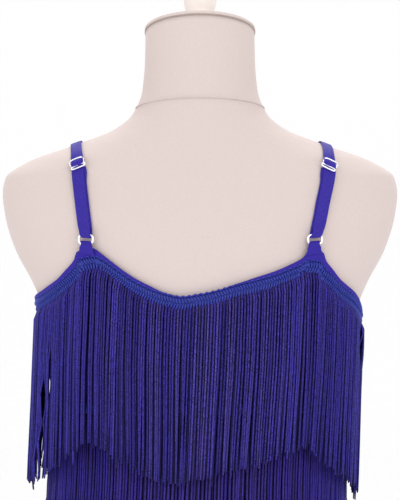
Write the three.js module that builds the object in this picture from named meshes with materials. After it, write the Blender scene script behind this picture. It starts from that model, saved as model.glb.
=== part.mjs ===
// Latin dance dress on a limbless dress form, as a set of separate closed solids.
// Millimetres, +Z up. The origin is on the floor, under the middle of the base.
// The back of the dress faces -Y, the front faces +Y, and +X is on the right seen from behind.
import * as THREE from 'three';

const RADIAN = Math.PI / 180;

// Dress form: sections from the hip cut up to the neck. halfWidth is along X, back along -Y,
// front along +Y, and power is the roundness of the section (2 is an ellipse).
const FORM_SECTIONS = [
  { z: 620, halfWidth: 153, back: 104, front: 98, power: 2.2 },
  { z: 700, halfWidth: 163, back: 117, front: 104, power: 2.2 },
  { z: 790, halfWidth: 168, back: 124, front: 107, power: 2.2 },
  { z: 880, halfWidth: 159, back: 111, front: 105, power: 2.2 },
  { z: 960, halfWidth: 136, back: 88, front: 98, power: 2.15 },
  { z: 1020, halfWidth: 126, back: 79, front: 92, power: 2.1 },
  { z: 1085, halfWidth: 142, back: 88, front: 101, power: 2.15 },
  { z: 1140, halfWidth: 151, back: 97, front: 114, power: 2.2 },
  { z: 1185, halfWidth: 158, back: 102, front: 120, power: 2.2 },
  { z: 1208, halfWidth: 167, back: 104, front: 117, power: 2.2 },
  { z: 1240, halfWidth: 184, back: 103, front: 107, power: 2.2 },
  { z: 1272, halfWidth: 194, back: 98, front: 93, power: 2.3 },
  { z: 1296, halfWidth: 197, back: 91, front: 80, power: 2.3 },
  { z: 1312, halfWidth: 194, back: 84, front: 70, power: 2.3 },
  { z: 1328, halfWidth: 171, back: 76, front: 58, power: 2.3 },
  { z: 1344, halfWidth: 127, back: 69, front: 51, power: 2.2 },
  { z: 1360, halfWidth: 86, back: 64, front: 48, power: 2.1 },
  { z: 1376, halfWidth: 67, back: 60, front: 49, power: 2 },
  { z: 1400, halfWidth: 57.5, back: 55, front: 51, power: 2 },
  { z: 1430, halfWidth: 55, back: 52, front: 54, power: 2 },
  { z: 1457, halfWidth: 54.5, back: 49, front: 57, power: 2 },
];
const FORM_LEVELS = [
  620, 660, 700, 745, 790, 835, 880, 920, 960, 990, 1017, 1050, 1085, 1140, 1185, 1212, 1240, 1268,
  1290, 1306, 1318, 1328, 1336, 1344, 1352, 1362, 1376, 1400, 1457,
];
const FORM_COLUMNS = 32;
const NECK_TILT = 0.28; // the neck's top slopes down to the front by this much per millimetre
const NECK_TILT_FROM = 1376; // the slope fades in above this height

// Dress: offsets from the form, outwards
const CLOTH_GAP = 2.2; // form to slip
const SLIP_WALL = 1.5;
const SEAM_GAP = 0.3;
const SEWN_ON = 0.4; // slip to what lies on it
const SLANT_GAP = 0.5; // gap down a column where the seam itself runs aslant
const BINDING_WALL = 1.2;
const BRAID_WALL = 2;
const BRAID_WIDTH = 11;
const HEM_Z = 690;
const SIDE_SEAM = 0.12 * RADIAN; // half of the gap left at each side seam

// Fringe: strands of one length, in four tiers
const FRINGE_LENGTH = 169;
const FRINGE_SWAY = 0.0375; // every strand drifts towards -X by this share of its drop
const FRINGE_ROWS = 4;
const TIER_1_REACH = 6;
const TIER_REACH = 4;
const HEADING_WIDTH = 12;
const TIERS = [
  { name: 'tier_2', z: 1085 },
  { name: 'tier_3', z: 948 },
  { name: 'tier_4', z: 812 },
];

// Upper edge of the dress seen from behind: left side, left peak, back neckline, right peak, side.
// trim is how much plain binding shows between the edge and the braid.
const BACK_EDGE = [
  { x: -170, z: 1193, trim: 4 },
  { x: -147, z: 1206, trim: 4 },
  { x: -128, z: 1222, trim: 5 },
  { x: -115, z: 1240, trim: 8 },
  { x: -103, z: 1240, trim: 8 },
  { x: -92, z: 1234, trim: 6 },
  { x: -70, z: 1219, trim: 4 },
  { x: -45, z: 1204, trim: 4 },
  { x: -17, z: 1195, trim: 3 },
  { x: 16, z: 1201, trim: 3 },
  { x: 52, z: 1213, trim: 4 },
  { x: 84, z: 1225, trim: 5 },
  { x: 103, z: 1239, trim: 9 },
  { x: 115, z: 1239, trim: 9 },
  { x: 128, z: 1218, trim: 5 },
  { x: 146, z: 1200, trim: 4 },
  { x: 170, z: 1181, trim: 4 },
];
// Upper edge of the front, from the right side seam round to the left one
const FRONT_EDGE = [
  { x: 170, z: 1181, trim: 4 },
  { x: 146, z: 1203, trim: 4 },
  { x: 128, z: 1226, trim: 5 },
  { x: 111, z: 1256, trim: 8 },
  { x: 99, z: 1256, trim: 8 },
  { x: 84, z: 1244, trim: 5 },
  { x: 50, z: 1229, trim: 4 },
  { x: 0, z: 1221, trim: 4 },
  { x: -50, z: 1229, trim: 4 },
  { x: -84, z: 1244, trim: 5 },
  { x: -99, z: 1256, trim: 8 },
  { x: -111, z: 1256, trim: 8 },
  { x: -128, z: 1230, trim: 5 },
  { x: -146, z: 1211, trim: 4 },
  { x: -170, z: 1193, trim: 4 },
];
const WIDEST_COLUMN = 10.5 * RADIAN; // stretches of the edge that turn more than this are divided

// Shoulder straps. They run in planes that cross the shoulder, measured round a point inside the
// form: turn 0 is the back, 90 the top of the shoulder and 180 the front.
const SHOULDER_Z = 1270;
const STRAP_WIDTH = 11.5;
const STRAP_WIDTH_IN_RING = 8.4;
const STRAP_WIDTH_IN_SLIDER = 9.4;
const STRAP_WALL = 1.2;
const STRAP_GAP = 1.2; // form to strap
const STRAP_LINE = [
  { turn: -30, left: -108.5, right: 109.5 },
  { turn: -12, left: -109.8, right: 109.8 },
  { turn: 38, left: -119.4, right: 126.2 },
  { turn: 90, left: -123.5, right: 124.5 },
  { turn: 190, left: -104.5, right: 104.5 },
  { turn: 204, left: -104.5, right: 104.5 },
];
const MM_PER_TURN = 1.55; // length of strap for one degree of turn
const RING_TURN = -12.2;
const RING_OUT = 5.2;
const RING_HALF_WIDTH = 7.2;
const RING_HALF_HEIGHT = 4.2;
const RING_WIRE = 1;
const RING_POWER = 5; // its outline is a rounded oblong, so that its long sides are nearly straight
const SLIDER_TURN = 38;
const SLIDER_OUT = 4.4;
const SLIDER_WIDTH = 17;
const SLIDER_HEIGHT = 13.4;
const SLIDER_PLATE = 1.6;
const SLIDER_BAR = 1.7;
const SLIDER_LEAN = { left: 18, right: -22 }; // degrees in its own plane

// Neck cap, knob and stand
const CAP_HEIGHT = 4.5;
const CAP_OVERHANG = 0.6;
const KNOB_PROFILE = [
  { radius: 18, height: 0 },
  { radius: 18, height: 5 },
  { radius: 14, height: 9 },
  { radius: 13, height: 16 },
  { radius: 15.5, height: 23 },
  { radius: 16.5, height: 31 },
  { radius: 14, height: 39 },
  { radius: 8, height: 45 },
];
const KNOB_TOP = 47;
const FLANGE_RADIUS = 45;
const FLANGE_HEIGHT = 8;
const POLE_RADIUS = 15;
const BASE_PROFILE = [
  { radius: 175, height: 0 },
  { radius: 175, height: 8 },
  { radius: 168, height: 14 },
  { radius: 60, height: 20 },
  { radius: 30, height: 30 },
  { radius: 26, height: 60 },
];

const COLOURS = {
  cloth: 0x3b319c,
  binding: 0x3c319a,
  braid: 0x3c4a9c,
  fringe: 0x35309a,
  form: 0xe7d8cf,
  metal: 0xc9cbd0,
  stand: 0xeceae6,
};

const group = new THREE.Group();

function addMesh(name, vertices, faces, colour, roughness, metalness) {
  const geometry = new THREE.BufferGeometry();
  geometry.setAttribute('position', new THREE.Float32BufferAttribute(vertices.flat(), 3));
  geometry.setIndex(faces.flat());
  geometry.computeVertexNormals();
  const material = new THREE.MeshStandardMaterial({ color: colour, roughness, metalness });
  const mesh = new THREE.Mesh(geometry, material);
  mesh.name = name;
  group.add(mesh);
  return mesh;
}

// Slope of a smooth curve through rows at row i: the harmonic mean of its two neighbours' slopes,
// and level where they change sign, so the curve never swings past a row.
function slopeAt(rows, axis, key, i) {
  if (i === 0 || i === rows.length - 1) {
    return 0;
  }
  const before = (rows[i][key] - rows[i - 1][key]) / (rows[i][axis] - rows[i - 1][axis]);
  const after = (rows[i + 1][key] - rows[i][key]) / (rows[i + 1][axis] - rows[i][axis]);
  return before * after > 0 ? (2 * before * after) / (before + after) : 0;
}

// Value of one column of a table at a place between its rows
function between(rows, axis, key, place) {
  let i = 0;
  while (i < rows.length - 2 && rows[i + 1][axis] < place) {
    i += 1;
  }
  const low = rows[i];
  const high = rows[i + 1];
  const span = high[axis] - low[axis];
  const t = Math.min(Math.max((place - low[axis]) / span, 0), 1);
  const rise = t * t * (3 - 2 * t);
  const leave = t * (1 - t) * (1 - t) * slopeAt(rows, axis, key, i) * span;
  const arrive = t * t * (1 - t) * slopeAt(rows, axis, key, i + 1) * span;
  return low[key] + (high[key] - low[key]) * rise + leave - arrive;
}

function sectionAt(z) {
  return {
    halfWidth: between(FORM_SECTIONS, 'z', 'halfWidth', z),
    back: between(FORM_SECTIONS, 'z', 'back', z),
    front: between(FORM_SECTIONS, 'z', 'front', z),
    power: between(FORM_SECTIONS, 'z', 'power', z),
  };
}

// The widest that the form is anywhere between two heights, which is where a strand hangs
function widestBetween(top, z) {
  const widest = sectionAt(z);
  const step = 6;
  for (let level = top; level > z; level -= step) {
    const section = sectionAt(level);
    widest.halfWidth = Math.max(widest.halfWidth, section.halfWidth);
    widest.back = Math.max(widest.back, section.back);
    widest.front = Math.max(widest.front, section.front);
  }
  return widest;
}

// A point of a section, moved out. Angle 0 is the right side (+X), 90 degrees the front (+Y).
function pointOf(section, angle, out) {
  const across = Math.cos(angle);
  const along = Math.sin(angle);
  const depth = along < 0 ? section.back : section.front;
  const round = 2 / section.power;
  return [
    Math.sign(across) * Math.abs(across) ** round * (section.halfWidth + out),
    Math.sign(along) * Math.abs(along) ** round * (depth + out),
  ];
}

// Closed wall between two grids of points, grid[column][row]. A tube joins its last column to its
// first; a panel closes its two side edges instead.
function wall(outer, inner, tube) {
  const columns = outer.length;
  const rows = outer[0].length;
  const vertices = [...outer.flat(), ...inner.flat()];
  const inside = columns * rows;
  const at = (column, row) => (column % columns) * rows + row;
  const faces = [];
  const quad = (a, b, c, d) => faces.push([a, b, c], [a, c, d]);
  const spans = tube ? columns : columns - 1;
  for (let c = 0; c < spans; c += 1) {
    for (let r = 0; r < rows - 1; r += 1) {
      quad(at(c, r), at(c, r + 1), at(c + 1, r + 1), at(c + 1, r));
      faces.push([inside + at(c, r), inside + at(c + 1, r + 1), inside + at(c, r + 1)]);
      faces.push([inside + at(c, r), inside + at(c + 1, r), inside + at(c + 1, r + 1)]);
    }
    const last = rows - 1;
    quad(at(c, 0), at(c + 1, 0), inside + at(c + 1, 0), inside + at(c, 0));
    quad(at(c + 1, last), at(c, last), inside + at(c, last), inside + at(c + 1, last));
  }
  if (!tube) {
    const end = columns - 1;
    for (let r = 0; r < rows - 1; r += 1) {
      quad(at(0, r + 1), at(0, r), inside + at(0, r), inside + at(0, r + 1));
      quad(at(end, r), at(end, r + 1), inside + at(end, r + 1), inside + at(end, r));
    }
  }
  return { vertices, faces };
}

// Closed solid through rings of points, all with the same count, from the bottom ring to the top
function stack(rings) {
  const count = rings[0].length;
  const vertices = rings.flat();
  const faces = [];
  for (let r = 0; r < rings.length - 1; r += 1) {
    for (let i = 0; i < count; i += 1) {
      const next = (i + 1) % count;
      const a = r * count + i;
      const b = r * count + next;
      faces.push([a, b, b + count], [a, b + count, a + count]);
    }
  }
  const middle = (ring) => [0, 1, 2].map((k) => ring.reduce((sum, p) => sum + p[k], 0) / count);
  const bottom = vertices.push(middle(rings[0])) - 1;
  const top = vertices.push(middle(rings[rings.length - 1])) - 1;
  const start = (rings.length - 1) * count;
  for (let i = 0; i < count; i += 1) {
    const next = (i + 1) % count;
    faces.push([bottom, next, i], [top, start + i, start + next]);
  }
  return { vertices, faces };
}

// ---- dress form -------------------------------------------------------------------------------

// Height of the tilted neck at a level: the tilt fades in up the neck
function neckHeight(level, y) {
  const top = FORM_SECTIONS[FORM_SECTIONS.length - 1].z;
  const share = Math.max(level - NECK_TILT_FROM, 0) / (top - NECK_TILT_FROM);
  return level - NECK_TILT * share * y;
}

function formRing(level, out, lift) {
  const section = sectionAt(level);
  const ring = [];
  for (let i = 0; i < FORM_COLUMNS; i += 1) {
    const [x, y] = pointOf(section, (i / FORM_COLUMNS) * 2 * Math.PI, out);
    ring.push([x, y, neckHeight(level, y) + lift]);
  }
  return ring;
}

const form = stack(FORM_LEVELS.map((level) => formRing(level, 0, 0)));
addMesh('dress_form', form.vertices, form.faces, COLOURS.form, 0.9, 0);

const neckTop = FORM_SECTIONS[FORM_SECTIONS.length - 1].z;
const cap = stack([
  formRing(neckTop, CAP_OVERHANG, SEAM_GAP),
  formRing(neckTop, CAP_OVERHANG, CAP_HEIGHT - 1),
  formRing(neckTop, CAP_OVERHANG - 1, CAP_HEIGHT),
]);
addMesh('neck_cap', cap.vertices, cap.faces, COLOURS.form, 0.85, 0);

function lathe(name, profile, capHeight, segments, colour, roughness, metalness) {
  const points = [new THREE.Vector2(0, profile[0].height)];
  for (const row of profile) {
    points.push(new THREE.Vector2(row.radius, row.height));
  }
  points.push(new THREE.Vector2(0, capHeight));
  const geometry = new THREE.LatheGeometry(points, segments);
  geometry.rotateX(Math.PI / 2); // the lathe turns about Y, and this stands it up along Z
  const material = new THREE.MeshStandardMaterial({ color: colour, roughness, metalness });
  const mesh = new THREE.Mesh(geometry, material);
  mesh.name = name;
  group.add(mesh);
  return mesh;
}

const knob = lathe('neck_knob', KNOB_PROFILE, KNOB_TOP, 16, COLOURS.form, 0.5, 0);
const neckSection = sectionAt(neckTop);
const knobY = (neckSection.front - neckSection.back) / 2;
knob.rotation.x = -Math.atan(NECK_TILT);
knob.position.set(0, knobY, neckTop - NECK_TILT * knobY + CAP_HEIGHT + SEAM_GAP);

// ---- stand ------------------------------------------------------------------------------------

const formBottom = FORM_SECTIONS[0].z;
const flangeZ = formBottom - SEAM_GAP - FLANGE_HEIGHT;
const flange = lathe(
  'stand_flange',
  [
    { radius: FLANGE_RADIUS - 1, height: 0 },
    { radius: FLANGE_RADIUS, height: 1 },
    { radius: FLANGE_RADIUS, height: FLANGE_HEIGHT },
  ],
  FLANGE_HEIGHT,
  28,
  COLOURS.stand,
  0.45,
  0.2,
);
flange.position.z = flangeZ;

const baseTop = BASE_PROFILE[BASE_PROFILE.length - 1].height;
lathe('stand_base', BASE_PROFILE, baseTop, 32, COLOURS.stand, 0.45, 0.2);
const poleLength = flangeZ - baseTop - 2 * SEAM_GAP;
const pole = lathe(
  'stand_pole',
  [
    { radius: POLE_RADIUS, height: 0 },
    { radius: POLE_RADIUS, height: poleLength },
  ],
  poleLength,
  24,
  COLOURS.stand,
  0.35,
  0.6,
);
pole.position.z = baseTop + SEAM_GAP;

// ---- columns of the dress ---------------------------------------------------------------------

// The angle round the form of a place on the upper edge
function angleAt(x, z, isBack) {
  const section = sectionAt(z);
  const share = Math.min(Math.abs(x) / section.halfWidth, 1);
  const turn = Math.acos(Math.sign(x) * share ** (section.power / 2));
  return isBack ? 2 * Math.PI - turn : turn;
}

// Columns along an edge table: one at each row, and more along each stretch that turns far
function columnsOf(edge, isBack) {
  const rows = edge.map((row) => ({ ...row, angle: angleAt(row.x, row.z, isBack) }));
  const columns = [];
  rows.slice(0, -1).forEach((row, i) => {
    const turn = rows[i + 1].angle - row.angle;
    const pieces = Math.ceil(turn / WIDEST_COLUMN);
    for (let piece = 0; piece < pieces; piece += 1) {
      const angle = row.angle + (turn * piece) / pieces;
      const z = between(rows, 'angle', 'z', angle);
      columns.push({ angle, z, trim: between(rows, 'angle', 'trim', angle) });
    }
  });
  columns.push(rows[rows.length - 1]);
  columns[0].angle += SIDE_SEAM;
  columns[columns.length - 1].angle -= SIDE_SEAM;
  return columns;
}

const backColumns = columnsOf(BACK_EDGE, true);
const frontColumns = columnsOf(FRONT_EDGE, false);
const allColumns = [...frontColumns, ...backColumns];

const SLIP_OUT = CLOTH_GAP + SLIP_WALL;

// Heights of a slip column, from its upper edge to the hem. It has a row at each edge of what is
// sewn on it, so that the binding, braid and headings lie on its own facets.
function slipLevels(column) {
  const underBraid = column.z - column.trim - BRAID_WIDTH;
  const toHeading = underBraid - TIERS[0].z;
  const levels = [column.z, column.z - column.trim, underBraid];
  levels.push(underBraid - toHeading * 0.3, underBraid - toHeading * 0.6);
  TIERS.forEach((tier, i) => {
    levels.push(tier.z + HEADING_WIDTH / 2, tier.z - HEADING_WIDTH / 2);
    const below = i + 1 < TIERS.length ? TIERS[i + 1].z : HEM_Z;
    levels.push((tier.z + below) / 2);
  });
  levels.push(HEM_Z);
  return levels;
}

// Grid of points at an offset from the form, at the heights that levelsOf gives for each column
function gridOn(columns, levelsOf, out) {
  return columns.map((column) =>
    levelsOf(column).map((z) => [...pointOf(sectionAt(z), column.angle, out), z]),
  );
}

function addLayer(name, columns, levelsOf, from, thickness, tube, colour, roughness) {
  const outer = gridOn(columns, levelsOf, from + thickness);
  const inner = gridOn(columns, levelsOf, from);
  const { vertices, faces } = wall(outer, inner, tube);
  addMesh(name, vertices, faces, colour, roughness, 0);
}

const halves = [
  { side: 'back', columns: backColumns },
  { side: 'front', columns: frontColumns },
];
const bindingLevels = (column) => [column.z, column.z - column.trim + SLANT_GAP];
const braidLevels = (column) => [column.z - column.trim, column.z - column.trim - BRAID_WIDTH];
for (const { side, columns } of halves) {
  addLayer(`slip_${side}`, columns, slipLevels, CLOTH_GAP, SLIP_WALL, false, COLOURS.cloth, 0.7);
  const on = SLIP_OUT + SEWN_ON;
  addLayer(`binding_${side}`, columns, bindingLevels, on, BINDING_WALL, false, COLOURS.binding, 0.6);
  addLayer(`braid_${side}`, columns, braidLevels, on, BRAID_WALL, false, COLOURS.braid, 0.6);
}
for (const tier of TIERS) {
  const levels = () => [tier.z + HEADING_WIDTH / 2, tier.z - HEADING_WIDTH / 2];
  const on = SLIP_OUT + SEWN_ON;
  addLayer(`${tier.name}_heading`, allColumns, levels, on, BRAID_WALL, true, COLOURS.braid, 0.6);
}

// ---- fringe -----------------------------------------------------------------------------------

// Move a point out until it is clear of a section by the given distance
function pushOut([x, y], section, out) {
  const depth = y < 0 ? section.back : section.front;
  const reach =
    (Math.abs(x) / (section.halfWidth + out)) ** section.power +
    (Math.abs(y) / (depth + out)) ** section.power;
  const grow = reach < 1 ? reach ** (-1 / section.power) : 1;
  return [x * grow, y * grow];
}

// A fringe hangs from its top like a curtain: straight down, drifting with the sway, and held off
// the form and what lies on it by the distance that clear gives for each height.
function fringeGrid(columns, topOf, clear, out) {
  return columns.map((column) => {
    const top = topOf(column);
    const points = [];
    for (let row = 0; row <= FRINGE_ROWS; row += 1) {
      const z = top - (FRINGE_LENGTH * row) / FRINGE_ROWS;
      const [x, y] = pointOf(widestBetween(top, z), column.angle, clear(top) + out);
      const swayed = [x - FRINGE_SWAY * (top - z), y];
      points.push([...pushOut(swayed, sectionAt(z), clear(z) + out), z]);
    }
    return points;
  });
}

function addFringe(name, columns, topOf, clear, reach, tube) {
  const outer = fringeGrid(columns, topOf, clear, reach);
  const inner = fringeGrid(columns, topOf, clear, 0);
  const { vertices, faces } = wall(outer, inner, tube);
  addMesh(name, vertices, faces, COLOURS.fringe, 0.75, 0);
}

const FRINGE_REST = SLIP_OUT + 1.4; // how far off the form a fringe lies on the slip
const LAYER_GAP = 3; // between one tier's strands and what they hang over

TIERS.forEach((tier, i) => {
  const lower = TIERS[i + 1];
  const fringeTop = tier.z - HEADING_WIDTH / 2 - SEAM_GAP;
  const overLower = FRINGE_REST + TIER_REACH + LAYER_GAP;
  const fade = 40; // the tier starts to stand off this far above the heading under it
  const clear = (z) => {
    const step = lower ? (lower.z + HEADING_WIDTH / 2 + fade - z) / fade : 0;
    const share = Math.min(Math.max(step, 0), 1);
    return FRINGE_REST + (overLower - FRINGE_REST) * share;
  };
  addFringe(`${tier.name}_fringe`, allColumns, () => fringeTop, clear, TIER_REACH, true);
});
const tier1Top = (column) => column.z - column.trim - BRAID_WIDTH - SLANT_GAP;
for (const { side, columns } of halves) {
  addFringe(`tier_1_fringe_${side}`, columns, tier1Top, () => FRINGE_REST, TIER_1_REACH, false);
}

// ---- straps -----------------------------------------------------------------------------------

// Is a place inside the form?
function isInside(x, y, z) {
  const section = sectionAt(z);
  const depth = y < 0 ? section.back : section.front;
  const reach = (Math.abs(x) / section.halfWidth) ** section.power;
  return z < neckTop && reach + (Math.abs(y) / depth) ** section.power < 1;
}

// The place at a turn over the shoulder, in the plane of one x, moved out from the form
function onShoulder(x, turn, out) {
  const backward = -Math.cos(turn * RADIAN);
  const upward = Math.sin(turn * RADIAN);
  let near = 0;
  let far = 200;
  for (let halving = 0; halving < 24; halving += 1) {
    const middle = (near + far) / 2;
    if (isInside(x, backward * middle, SHOULDER_Z + upward * middle)) {
      near = middle;
    } else {
      far = middle;
    }
  }
  const radius = near + out;
  return [x, backward * radius, SHOULDER_Z + upward * radius];
}

// A ribbon along a path of rows { turn, out, inward, width, lean }: out is the middle of its
// thickness, inward moves it sideways, towards the middle of the back, and lean is the angle of
// the row across the ribbon, up to the right.
function addRibbon(name, side, path, wallThickness) {
  const sign = side === 'left' ? 1 : -1;
  const flat = path.map((row) => new THREE.Vector2(row.turn * MM_PER_TURN, row.out));
  const rings = path.map((row, i) => {
    const before = flat[Math.max(i - 1, 0)];
    const after = flat[Math.min(i + 1, path.length - 1)];
    const along = after.clone().sub(before).normalize();
    const x = between(STRAP_LINE, 'turn', side, row.turn) + sign * (row.inward ?? 0);
    const width = row.width ?? STRAP_WIDTH;
    const climb = Math.tan((row.lean ?? 0) * RADIAN) * width;
    const corner = (across, through) => {
      const place = flat[i].x + across * climb - along.y * through * wallThickness;
      const out = flat[i].y + along.x * through * wallThickness;
      return onShoulder(x + across * width, place / MM_PER_TURN, out);
    };
    return [corner(-0.5, -0.5), corner(-0.5, 0.5), corner(0.5, 0.5), corner(0.5, -0.5)];
  });
  const { vertices, faces } = stack(rings);
  addMesh(name, vertices, faces, COLOURS.cloth, 0.6, 0);
}

const FORM_STRAP_OUT = STRAP_GAP + STRAP_WALL / 2;
const FOLD_RADIUS = RING_WIRE + 3 * SEAM_GAP + STRAP_WALL / 2;
const RING_STEP = RING_HALF_HEIGHT / MM_PER_TURN; // ring centre to either bar, in turn

// Rows of a fold around one bar of the ring. Sense 1 folds below the bar and -1 above it.
function foldRows(barTurn, sense, inward) {
  return [90, 45, 0, -45, -90].map((angle) => ({
    turn: barTurn - (sense * FOLD_RADIUS * Math.cos(angle * RADIAN)) / MM_PER_TURN,
    out: RING_OUT + FOLD_RADIUS * Math.sin(angle * RADIAN),
    inward: inward * (1 - angle / 90) * 0.5,
    width: STRAP_WIDTH_IN_RING,
  }));
}

// The strap's path: sewn on the front peak, over the shoulder, under the slider's upper bar, over
// its middle bar, under its lower bar, down to the ring, round it, and back up to the slider.
const FRONT_SEWN_OUT = SLIP_OUT + BINDING_WALL + 5 * SEAM_GAP + STRAP_WALL / 2;
const UNDER_SLIDER = SLIDER_OUT - 2 * SEAM_GAP - STRAP_WALL / 2;
const OVER_SLIDER = SLIDER_OUT + SLIDER_PLATE + 2 * SEAM_GAP + STRAP_WALL / 2;
const INNER_SHIFT = 3.5; // the returning layer shows beside the outer one by this much
const INNER_LAYER_OUT = UNDER_SLIDER - STRAP_WALL - SEAM_GAP;
function strapPath(lean) {
  const rows = [
    { turn: 191.5, out: FRONT_SEWN_OUT },
    { turn: 187.5, out: FRONT_SEWN_OUT },
    { turn: 182, out: FORM_STRAP_OUT + 1 },
  ];
  for (let turn = 175; turn > SLIDER_TURN + 10; turn -= 7.5) {
    rows.push({ turn, out: FORM_STRAP_OUT });
  }
  const bar = (SLIDER_HEIGHT - SLIDER_BAR) / 2 / MM_PER_TURN;
  rows.push(
    { turn: SLIDER_TURN + bar + 3, out: FORM_STRAP_OUT + 0.2, lean, width: STRAP_WIDTH_IN_SLIDER },
    { turn: SLIDER_TURN + bar + 1.6, out: UNDER_SLIDER, lean, width: STRAP_WIDTH_IN_SLIDER },
    { turn: SLIDER_TURN + bar - 1.2, out: UNDER_SLIDER, lean, width: STRAP_WIDTH_IN_SLIDER },
    { turn: SLIDER_TURN + 1, out: OVER_SLIDER, lean, width: STRAP_WIDTH_IN_SLIDER },
    { turn: SLIDER_TURN - 1, out: OVER_SLIDER, lean, width: STRAP_WIDTH_IN_SLIDER },
    { turn: SLIDER_TURN - bar + 1, out: UNDER_SLIDER, lean, width: STRAP_WIDTH_IN_SLIDER },
    { turn: SLIDER_TURN - bar - 1, out: UNDER_SLIDER, lean, width: STRAP_WIDTH_IN_SLIDER },
  );
  for (let turn = 27; turn > -2; turn -= 9) {
    rows.push({ turn, out: UNDER_SLIDER });
  }
  const upperBar = RING_TURN + RING_STEP;
  rows.push({ turn: upperBar + 5.5, out: UNDER_SLIDER });
  rows.push({ turn: upperBar + 2, out: RING_OUT + FOLD_RADIUS, width: STRAP_WIDTH_IN_RING });
  rows.push(...foldRows(upperBar, 1, INNER_SHIFT));
  rows.push({ turn: upperBar + 4, out: FORM_STRAP_OUT, inward: INNER_SHIFT });
  for (let turn = 0; turn < SLIDER_TURN - 6; turn += 9) {
    rows.push({ turn, out: INNER_LAYER_OUT, inward: INNER_SHIFT });
  }
  rows.push({ turn: SLIDER_TURN - bar - 1, out: INNER_LAYER_OUT, inward: INNER_SHIFT });
  return rows;
}

// The tab: a short doubled strip through the ring, both ends sewn on the back peak
const SEWN_GAP = 2; // a radial gap, which leaves about 0.5 mm square to the cloth
const TAB_INNER = SLIP_OUT + BINDING_WALL + SEWN_GAP + STRAP_WALL / 2;
const TAB_OUTER = TAB_INNER + STRAP_WALL + SEAM_GAP;
function tabPath() {
  const lowerBar = RING_TURN - RING_STEP;
  const end = lowerBar - 7.1;
  const wide = STRAP_WIDTH + 1;
  return [
    { turn: end, out: TAB_OUTER, width: wide },
    { turn: lowerBar - 2.5, out: TAB_OUTER },
    ...foldRows(lowerBar, -1, 0),
    { turn: lowerBar - 1.2, out: RING_OUT - FOLD_RADIUS + 0.3 },
    { turn: lowerBar - 3.2, out: TAB_INNER },
    { turn: end, out: TAB_INNER, width: wide },
  ];
}

// A frame on the strap's line: across the strap, up along it, and out from the form
function frameOn(side, turn, out) {
  const x = between(STRAP_LINE, 'turn', side, turn);
  const origin = new THREE.Vector3(...onShoulder(x, turn, out));
  const above = new THREE.Vector3(...onShoulder(x, turn + 3, out));
  const below = new THREE.Vector3(...onShoulder(x, turn - 3, out));
  const right = new THREE.Vector3(...onShoulder(x + 4, turn, out));
  const left = new THREE.Vector3(...onShoulder(x - 4, turn, out));
  const up = above.sub(below).normalize();
  const outward = right.sub(left).cross(up).normalize();
  const across = up.clone().cross(outward);
  return new THREE.Matrix4().makeBasis(across, up, outward).setPosition(origin);
}

// Oblong wire ring in its own XY plane
function ringSolid() {
  const around = 20;
  const section = 6;
  const round = 2 / RING_POWER;
  const outline = [];
  for (let i = 0; i < around; i += 1) {
    const angle = ((i + 0.5) / around) * 2 * Math.PI;
    const across = Math.cos(angle);
    const along = Math.sin(angle);
    outline.push(
      new THREE.Vector2(
        Math.sign(across) * Math.abs(across) ** round * RING_HALF_WIDTH,
        Math.sign(along) * Math.abs(along) ** round * RING_HALF_HEIGHT,
      ),
    );
  }
  const vertices = [];
  const faces = [];
  for (let i = 0; i < around; i += 1) {
    const ahead = outline[(i + 1) % around].clone().sub(outline[(i + around - 1) % around]);
    const normal = new THREE.Vector2(ahead.y, -ahead.x).normalize();
    for (let j = 0; j < section; j += 1) {
      const turn = (j / section) * 2 * Math.PI;
      const point = outline[i].clone().addScaledVector(normal, RING_WIRE * Math.cos(turn));
      vertices.push([point.x, point.y, RING_WIRE * Math.sin(turn)]);
      const a = i * section + j;
      const b = i * section + ((j + 1) % section);
      const c = ((i + 1) % around) * section + ((j + 1) % section);
      const d = ((i + 1) % around) * section + j;
      faces.push([a, c, b], [a, d, c]);
    }
  }
  return { vertices, faces };
}

function roundedBox(path, left, bottom, width, height, radius) {
  const right = left + width;
  const top = bottom + height;
  path.moveTo(left + radius, bottom);
  path.lineTo(right - radius, bottom);
  path.absarc(right - radius, bottom + radius, radius, -Math.PI / 2, 0, false);
  path.lineTo(right, top - radius);
  path.absarc(right - radius, top - radius, radius, 0, Math.PI / 2, false);
  path.lineTo(left + radius, top);
  path.absarc(left + radius, top - radius, radius, Math.PI / 2, Math.PI, false);
  path.lineTo(left, bottom + radius);
  path.absarc(left + radius, bottom + radius, radius, Math.PI, 1.5 * Math.PI, false);
  return path;
}

// Flat slider with two slots and a middle bar, in its own XY plane
function sliderGeometry() {
  const outline = roundedBox(
    new THREE.Shape(),
    -SLIDER_WIDTH / 2,
    -SLIDER_HEIGHT / 2,
    SLIDER_WIDTH,
    SLIDER_HEIGHT,
    3.2,
  );
  const slotWidth = SLIDER_WIDTH - 2 * SLIDER_BAR;
  const slotHeight = (SLIDER_HEIGHT - 3 * SLIDER_BAR) / 2;
  for (const bottom of [-SLIDER_HEIGHT / 2 + SLIDER_BAR, SLIDER_BAR / 2]) {
    const slot = new THREE.Path();
    outline.holes.push(roundedBox(slot, -slotWidth / 2, bottom, slotWidth, slotHeight, 1));
  }
  return new THREE.ExtrudeGeometry(outline, {
    depth: SLIDER_PLATE,
    bevelEnabled: false,
    curveSegments: 2,
  });
}

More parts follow.
